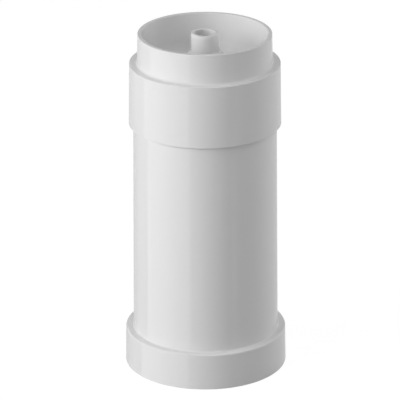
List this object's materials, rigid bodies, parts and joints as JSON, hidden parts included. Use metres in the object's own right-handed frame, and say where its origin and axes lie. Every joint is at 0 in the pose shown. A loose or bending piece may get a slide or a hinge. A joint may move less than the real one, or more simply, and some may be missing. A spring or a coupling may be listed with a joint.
{
  "type": "inline water filter cartridge",
  "caption": "White cylindrical inline water filter cartridge with an open cup and outlet spigot on top, a collar round the body and a wider foot with a recessed inlet spigot.",
  "frame": {"origin": "centre of the foot's lower edge, on the surface that the cartridge stands on", "axes": "+Z along the cartridge's axis, from the foot to the outlet; X and Y are free, since the housing is round"},
  "size_m": [0.074, 0.074, 0.1588],
  "materials": {
    "housing_white": "moulded white polypropylene, soft sheen",
    "cap_white": "moulded polypropylene, matt",
    "carbon": "pressed carbon, grainy",
    "fleece": "spunbonded fleece",
    "glue": "hot glue, set",
    "seal_rubber": "smooth rubber"
  },
  "bodies": {
    "root": {"head": "housing_white", "sump": "housing_white", "upper_end_cap": "cap_white", "lower_end_cap": "cap_white", "core_tube": "cap_white", "neck_seal": "seal_rubber", "carbon_block": "carbon", "prefilter_fleece": "fleece", "upper_bond": "glue", "lower_bond": "glue"}
  },
  "joints": []
}
